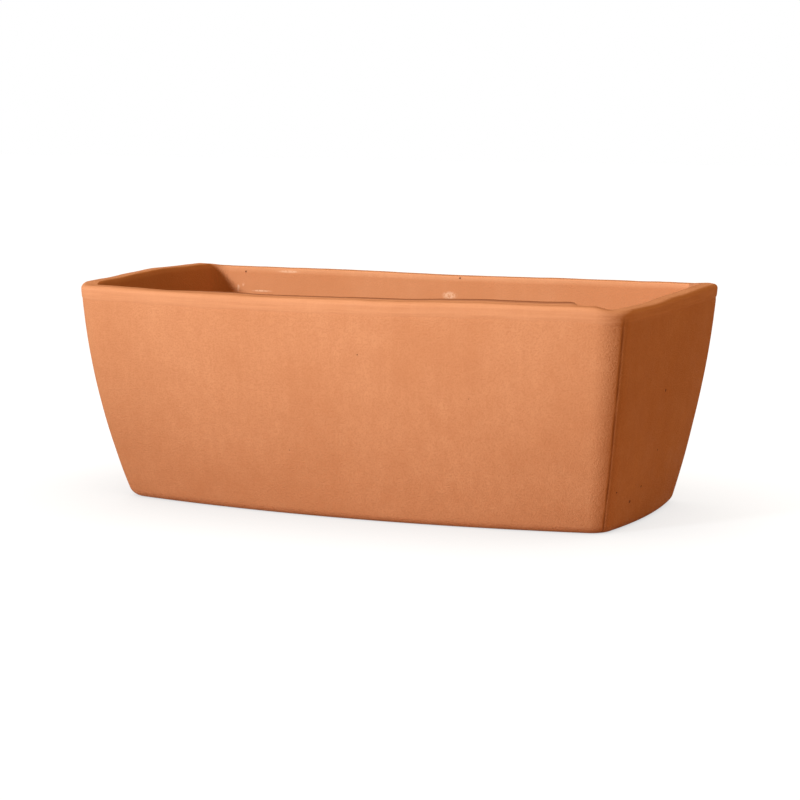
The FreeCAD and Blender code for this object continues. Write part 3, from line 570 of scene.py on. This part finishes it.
clay = {
    "body": linear(224, 155, 110),
    "pale": linear(233, 166, 122),
    "deep": linear(208, 136, 91),
    "wiped": linear(229, 160, 116),
    # inside: painted shade for the inside of the trough
    "inside": linear(196, 116, 68),
    # seam: painted shade colour for the seam groove and along the rim's inner edge
    "seamShade": linear(120, 58, 26),
    # pit: painted shade colour for the inside of the pits
    "pitAndShade": linear(92, 44, 22),
    "scuff": linear(240, 188, 152),
    "evenness": 0.72,
    "patchShare": 0.24,
    "streakShare": 0.16,
    "insideShadeShare": 0.45,
    "stippleShare": 0.48,
    "pitShadeShare": 0.72,
    "scuffShare": 0.75,
    "seamShadeShare": 0.80,
    "lipShare": 0.90,
    "reliefDepth": 0.0006,
    # pits: arc, share along it, height, width
    "outerPits": [(0, 0.554, 0.142, 0.0006), (0, 0.400, 0.057, 0.0005), (1, 0.93, 0.035, 0.0009),
                  (2, 0.27, 0.033, 0.0011), (2, 0.42, 0.060, 0.0009), (2, 0.15, 0.023, 0.0016),
                  (2, 0.41, 0.110, 0.0014)],
    "innerPits": [(4, 0.964, 0.1825, 0.0010), (4, 0.488, 0.1850, 0.0010)],
    # scuffs on the inside: arc, share along it, height, reach along X, Y and Z
    "scuffs": [(4, 0.984, 0.167, (0.0016, 0.006, 0.0045)), (4, 0.972, 0.171, (0.0013, 0.006, 0.0030)),
               (4, 0.930, 0.165, (0.0130, 0.006, 0.0011)), (4, 0.866, 0.184, (0.0140, 0.006, 0.0016)),
               (4, 0.510, 0.169, (0.0090, 0.006, 0.0045))],
}


def makeClay():
    finish = Finish("firedClay")

    # body, nearly even, with patches and upright streaks; the inside is painted darker as shade
    broad = finish.span(finish.noise(11, 3), 0.34, 0.66)
    colour = finish.mix(broad, clay["deep"], clay["pale"])
    colour = finish.mix(clay["evenness"], colour, clay["body"])
    patch = finish.span(finish.noise(64, 4, 0.65), 0.35, 0.65)
    colour = finish.mix(finish.times(patch, clay["patchShare"]), colour, clay["deep"])
    streak = finish.span(finish.noise(1, 3, 0.6, stretch=(150, 150, 9)), 0.38, 0.62)
    colour = finish.mix(finish.times(streak, clay["streakShare"]), colour, clay["deep"])
    # painted shade: the inside of the trough is darkened towards the inside colour
    inside = finish.times(finish.attribute("inside"), clay["insideShadeShare"])
    colour = finish.mix(inside, colour, clay["inside"])

    # wiped band, brushed along the rim; the fine stipple is left everywhere else
    wiped = finish.attribute("wiped")
    brushed = finish.noise(1, 3, 0.6, stretch=(16, 16, 560))
    streaky = finish.times(wiped, finish.span(brushed, 0.35, 0.65, 0.15, 0.75))
    colour = finish.mix(streaky, colour, clay["wiped"])
    rough = finish.math("SUBTRACT", 1.0, finish.times(wiped, 0.75))
    stipple = finish.noise(640, 3, 0.65)
    speck = finish.times(finish.span(stipple, 0.42, 0.64), finish.times(rough, clay["stippleShare"]))
    colour = finish.mix(speck, colour, clay["deep"])

    # pits, a few of them scattered and the rest placed; each is dented by the bump and painted with shade
    cells = finish.add("ShaderNodeTexVoronoi", {"Vector": finish.place, "Scale": 62.0}, feature="F1")
    few = finish.span(finish.noise(38, 1), 0.66, 0.69)
    pitAndShade = finish.times(finish.span(cells.outputs["Distance"], 0.045, 0.022), few)
    for spots, inside in ((clay["outerPits"], False), (clay["innerPits"], True)):
        for arc, share, z, width in spots:
            centre = troughPlace(arc, share, z, inside)
            pitAndShade = finish.math("MAXIMUM", pitAndShade, finish.near(centre, (width, width, width), 0.55))
    # painted shade: the pits are darkened
    colour = finish.mix(finish.times(pitAndShade, clay["pitShadeShare"]), colour, clay["pitAndShade"])

    # pale scuffs, then the painted shade in the seam and along the lip
    scuff = 0.0
    for arc, share, z, reach in clay["scuffs"]:
        centre = troughPlace(arc, share, z, True)
        scuff = finish.math("MAXIMUM", scuff, finish.near(centre, reach, 0.35))
    worn = finish.times(scuff, finish.span(finish.noise(420, 3, 0.7), 0.36, 0.56))
    colour = finish.mix(finish.times(worn, clay["scuffShare"]), colour, clay["scuff"])
    # painted shade: the seam groove and the rim's inner edge are darkened
    for mark in ("seamShade", "lip"):
        dark = finish.times(finish.attribute(mark), clay[mark + "Share"])
        colour = finish.mix(dark, colour, clay["seamShade"])

    relief = finish.times(stipple, rough)
    relief = finish.math("MULTIPLY_ADD", finish.noise(2400, 2, 0.6), 0.30, relief)
    relief = finish.math("MULTIPLY_ADD", finish.times(brushed, wiped), 0.5, relief)
    relief = finish.math("MULTIPLY_ADD", pitAndShade, -1.6, relief)
    roughness = finish.span(finish.noise(60, 3), 0.3, 0.7, 0.80, 0.92)
    finish.set(Base_Color=colour, Roughness=roughness, Specular_IOR_Level=0.2)
    finish.set(Normal=finish.bump(relief, clay["reliefDepth"], 0.95))
    return finish.material


def makePlastic(name, colour, worn, roughness, grain=1500.0, depth=0.00006, edge=0.0006):
    # moulded plastic: fine grain, faint mottling, softened edges
    finish = Finish(name)
    mottle = finish.span(finish.noise(70, 4, 0.6), 0.3, 0.7)
    scratch = finish.span(finish.noise(1, 3, 0.6, stretch=(900, 40, 300)), 0.60, 0.72)
    tone = finish.mix(finish.times(mottle, 0.5), colour, worn)
    tone = finish.mix(finish.times(scratch, 0.25), tone, worn)
    edges = finish.add("ShaderNodeBevel", {"Radius": edge}, samples=6).outputs["Normal"]
    texture = finish.noise(grain, 2, 0.6)
    shine = finish.span(finish.noise(130, 3), 0.3, 0.7, roughness - 0.07, roughness + 0.08)
    finish.set(Base_Color=tone, Roughness=shine, Normal=finish.bump(texture, depth, 0.6, edges))
    return finish.material


def makeClear():
    finish = Finish("clearPlastic")
    haze = finish.span(finish.noise(160, 3), 0.3, 0.7, 0.05, 0.14)
    edges = finish.add("ShaderNodeBevel", {"Radius": 0.0005}, samples=6).outputs["Normal"]
    finish.set(Base_Color=linear(236, 242, 240), Roughness=haze, IOR=1.49, Transmission_Weight=0.92)
    finish.set(Normal=finish.bump(finish.noise(300, 2), 0.00004, 0.4, edges))
    return finish.material


def makeSteel():
    finish = Finish("drawnSteel")
    drawn = finish.noise(1, 3, 0.6, stretch=(60, 2600, 2600))
    tone = finish.mix(finish.span(drawn, 0.3, 0.7), linear(168, 168, 170), linear(208, 208, 208))
    finish.set(Base_Color=tone, Metallic=1.0, Roughness=finish.span(drawn, 0.3, 0.7, 0.26, 0.40))
    finish.set(Normal=finish.bump(drawn, 0.00002, 0.5))
    return finish.material


def makeFoam():
    finish = Finish("floatFoam")
    cells = finish.add("ShaderNodeTexVoronoi", {"Vector": finish.place, "Scale": 1400.0}, feature="F1")
    beads = finish.span(cells.outputs["Distance"], 0.1, 0.6)
    tone = finish.mix(beads, linear(236, 233, 224), linear(214, 209, 196))
    finish.set(Base_Color=tone, Roughness=0.75, Normal=finish.bump(beads, -0.00012, 0.8))
    return finish.material


def dress(material, *names):
    for name in names:
        nodes[name].data.materials.clear()
        nodes[name].data.materials.append(material)


clayTrough.data.materials.append(makeClay())
trayBlack = makePlastic("trayBlack", linear(38, 38, 40), linear(58, 58, 60), 0.42)
platformBlack = makePlastic("platformBlack", linear(44, 44, 46), linear(66, 66, 68), 0.50)
tubeGrey = makePlastic("tubeGrey", linear(64, 65, 67), linear(86, 87, 89), 0.38)
flapGreen = makePlastic("flapGreen", linear(70, 98, 74), linear(92, 120, 96), 0.40)
fittingGrey = makePlastic("fittingGrey", linear(84, 85, 86), linear(106, 107, 108), 0.45)
indicatorRed = makePlastic("indicatorRed", linear(196, 40, 30), linear(214, 66, 52), 0.30)
rodWhite = makePlastic("rodWhite", linear(222, 222, 216), linear(204, 204, 198), 0.40)
rubberBlack = makePlastic("rubberBlack", linear(26, 26, 27), linear(44, 44, 45), 0.72, 900.0, 0.0001)
legs = [name for name in nodes if name.startswith("platform_leg")]
dress(trayBlack, "reservoir_tray")
dress(platformBlack, "soil_platform", "wick_basket_left", "wick_basket_right", *legs)
dress(tubeGrey, "fill_tube", "fill_funnel", "gauge_tube")
dress(flapGreen, "fill_cap")
dress(fittingGrey, "overflow_pipe", "overflow_nut", "overflow_strainer")
dress(indicatorRed, "gauge_disc")
dress(rodWhite, "gauge_rod")
dress(rubberBlack, "overflow_gasket")
dress(makeClear(), "gauge_window")
dress(makeSteel(), "fill_cap_pin")
dress(makeFoam(), "gauge_float")
print("materials assigned")


# floor, lamps, camera

studio = {
    "floorSize": 16.0,
    "floorTone": (0.16, 0.16, 0.16, 1.0),
    "floorBounce": (0.50, 0.31, 0.18, 1.0),
    "shadeReach": 0.16,           # how far the soft shade under the trough spreads
    "shadeTone": (0.62, 0.62, 0.62, 1.0),
    "fillTone": (1.0, 0.625, 0.255, 1.0),
    "fillStrength": 0.50,
    "keyTone": (0.90, 1.0, 1.08),
    "keyPower": 1170.0,
    "keySize": 0.36,
    "keyDistance": 4.0,
    "keyAzimuth": -25.0,
    "keyElevation": 19.5,
    "keyAim": (-0.10, 0.0, 0.262),
    "keySpread": 7.7,             # across the beam, in degrees
    "keyFlat": 6.5,               # how much wider the beam is than high
}


def wayTo(azimuth, elevation):
    # azimuth 0 is in front of the trough, positive towards +X
    a, e = math.radians(azimuth), math.radians(elevation)
    return Vector((math.sin(a) * math.cos(e), -math.cos(a) * math.cos(e), math.sin(e)))


def addNode(tree, kind, **values):
    # a node with its sockets set or linked
    node = tree.nodes.new(kind)
    for name, value in values.items():
        socket = node.inputs[name]
        if isinstance(value, bpy.types.NodeSocket):
            tree.links.new(value, socket)
        else:
            socket.default_value = value
    return node.outputs[0]


def chooseForRays(tree, kinds, seen, unseen):
    # one shader for the named kinds of ray, another for all the rest
    path = tree.nodes.new("ShaderNodeLightPath")
    chosen = path.outputs[kinds[0]]
    for kind in kinds[1:]:
        both = tree.nodes.new("ShaderNodeMath")
        both.operation = "MAXIMUM"
        tree.links.new(chosen, both.inputs[0])
        tree.links.new(path.outputs[kind], both.inputs[1])
        chosen = both.outputs[0]
    choose = tree.nodes.new("ShaderNodeMixShader")
    for i, source in enumerate((chosen, unseen, seen)):
        tree.links.new(source, choose.inputs[i])
    return choose.outputs[0]


def makeFloor():
    bm = bmesh.new()
    bmesh.ops.create_grid(bm, x_segments=2, y_segments=2, size=studio["floorSize"] / 2)
    floor = addMesh("studioFloor", bm)
    material = bpy.data.materials.new("studioFloorPaint")
    material.use_nodes = True
    tree = material.node_tree
    tree.nodes.clear()
    shade = tree.nodes.new("ShaderNodeAmbientOcclusion")
    shade.samples = 8
    shade.inputs["Distance"].default_value = studio["shadeReach"]
    tint = tree.nodes.new("ShaderNodeMix")
    tint.data_type = "RGBA"
    tree.links.new(shade.outputs["AO"], tint.inputs[0])
    tint.inputs[6].default_value = studio["shadeTone"]
    tint.inputs[7].default_value = (1, 1, 1, 1)
    lift = addNode(tree, "ShaderNodeEmission", Color=tint.outputs[2])
    white = tree.nodes.new("ShaderNodeAddShader")
    tree.links.new(addNode(tree, "ShaderNodeBsdfDiffuse", Color=studio["floorTone"]), white.inputs[0])
    tree.links.new(lift, white.inputs[1])
    bounce = addNode(tree, "ShaderNodeBsdfDiffuse", Color=studio["floorBounce"])
    kinds = ("Is Camera Ray", "Is Glossy Ray", "Is Transmission Ray")
    surface = chooseForRays(tree, kinds, white.outputs[0], bounce)
    output = tree.nodes.new("ShaderNodeOutputMaterial")
    tree.links.new(surface, output.inputs["Surface"])
    floor.data.materials.append(material)


def makeWorld():
    world = bpy.data.worlds.new("studioAir")
    bpy.context.scene.world = world
    world.use_nodes = True
    tree = world.node_tree
    tree.nodes.clear()
    fill = addNode(tree, "ShaderNodeBackground", Color=studio["fillTone"], Strength=studio["fillStrength"])
    white = addNode(tree, "ShaderNodeBackground", Color=(1, 1, 1, 1), Strength=1.0)
    surface = chooseForRays(tree, ("Is Camera Ray", "Is Transmission Ray"), white, fill)
    output = tree.nodes.new("ShaderNodeOutputWorld")
    tree.links.new(surface, output.inputs["Surface"])


def makeKey():
    # a low soft lamp whose wide flat beam fades towards the ground
    lamp = bpy.data.lights.new("keyLamp", "SPOT")
    lamp.energy = studio["keyPower"]
    lamp.color = studio["keyTone"]
    lamp.shadow_soft_size = studio["keySize"]
    lamp.spot_size = math.radians(studio["keySpread"])
    lamp.spot_blend = 1.0
    holder = bpy.data.objects.new("keyLamp", lamp)
    bpy.context.collection.objects.link(holder)
    way = wayTo(studio["keyAzimuth"], studio["keyElevation"])
    holder.location = Vector(studio["keyAim"]) + way * studio["keyDistance"]
    holder.rotation_euler = way.to_track_quat("Z", "Y").to_euler()
    holder.scale = (studio["keyFlat"], 1, 1)


camera = {
    "azimuth": 24.4,
    "elevation": 7.49,
    "distance": 2.035,
    "lens": 105.9,
    "aimDrop": 0.0075,
    "aimSide": 0.0007,
}


def makeCamera():
    data = bpy.data.cameras.new("camera")
    data.lens = camera["lens"]
    data.clip_start = 0.05
    data.clip_end = 50
    holder = bpy.data.objects.new("camera", data)
    bpy.context.collection.objects.link(holder)
    middle = Vector((0, 0, trough["height"] / 2))
    holder.location = middle + wayTo(camera["azimuth"], camera["elevation"]) * camera["distance"]
    turn = math.radians(camera["azimuth"])
    side = Vector((math.cos(turn), math.sin(turn), 0))
    aim = middle + side * camera["aimSide"] - Vector((0, 0, camera["aimDrop"]))
    holder.rotation_euler = (holder.location - aim).to_track_quat("Z", "Y").to_euler()
    bpy.context.scene.camera = holder


makeFloor()
makeWorld()
makeKey()
makeCamera()
bpy.context.scene.view_settings.view_transform = "Standard"
print("floor, lamps and camera set")
